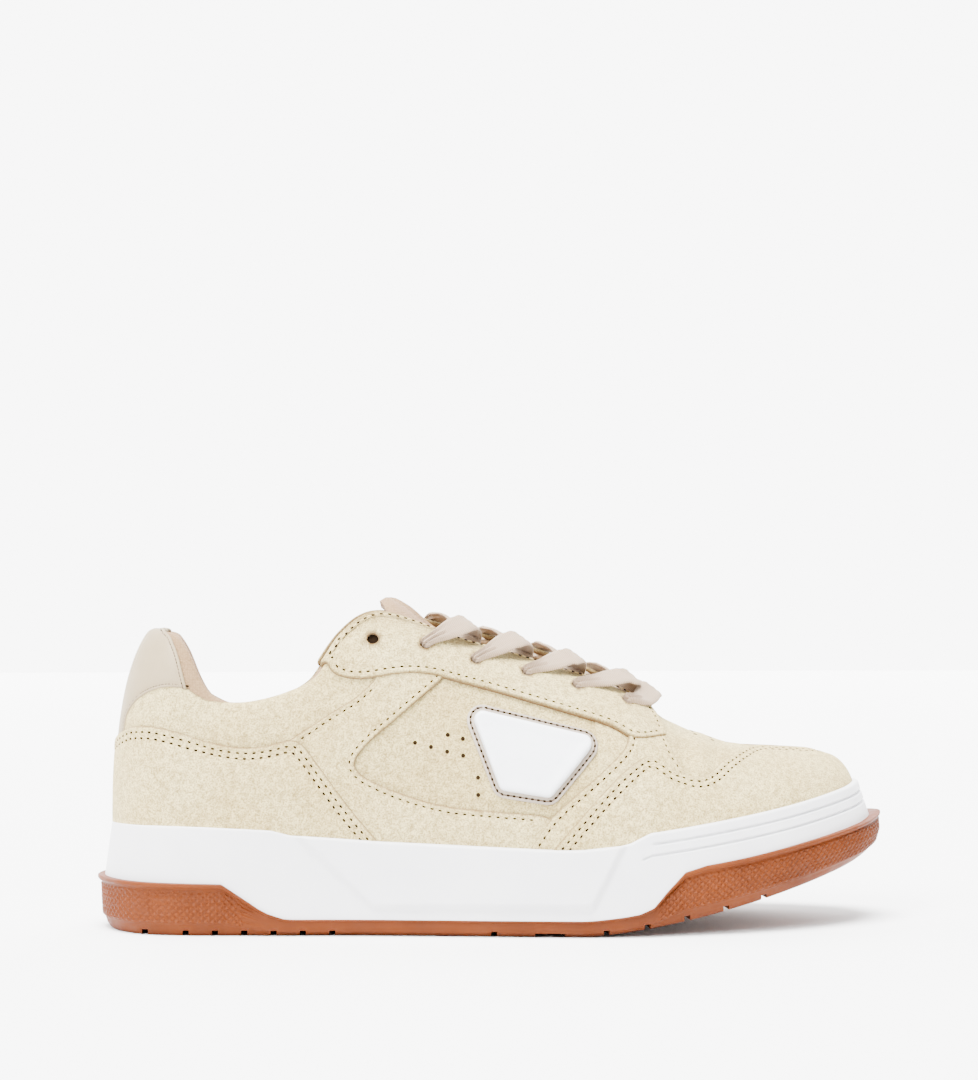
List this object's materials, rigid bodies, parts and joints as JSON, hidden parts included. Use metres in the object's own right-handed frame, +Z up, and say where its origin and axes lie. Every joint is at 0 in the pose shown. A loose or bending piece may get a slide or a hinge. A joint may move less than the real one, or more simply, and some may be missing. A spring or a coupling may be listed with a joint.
{
  "type": "skateboarding shoe",
  "caption": "Low suede skate shoe, right foot: cup sole with rubber wrapped up at heel and toe, padded collar, flat lace over a padded tongue, plain side plates.",
  "frame": {"origin": "middle of the shoe's box, on the floor", "axes": "+X from heel to toe, +Z up, -Y towards the outer side of the foot"},
  "size_m": [0.296, 0.108, 0.1208],
  "materials": {
    "gum_rubber": "moulded, satin",
    "cup_rubber": "moulded, satin",
    "suede": "suede",
    "smooth_leather": "smooth, matt",
    "lining": "brushed textile",
    "lace": "flat woven",
    "plate": "moulded, low gloss"
  },
  "bodies": {
    "root": {"outsole": "gum_rubber", "midsole": "cup_rubber", "insole": "lining", "upper": "suede", "tongue": "lining", "toe_guard": "suede", "heel_counter": "suede", "heel_tab": "smooth_leather", "quarter_outer": "suede", "quarter_inner": "suede", "strap_outer": "suede", "strap_inner": "suede", "eyestay_outer": "suede", "eyestay_inner": "suede", "badge_backing_outer": "smooth_leather", "badge_backing_inner": "smooth_leather", "badge_outer": "plate", "badge_inner": "plate", "lace": "lace"}
  },
  "joints": []
}
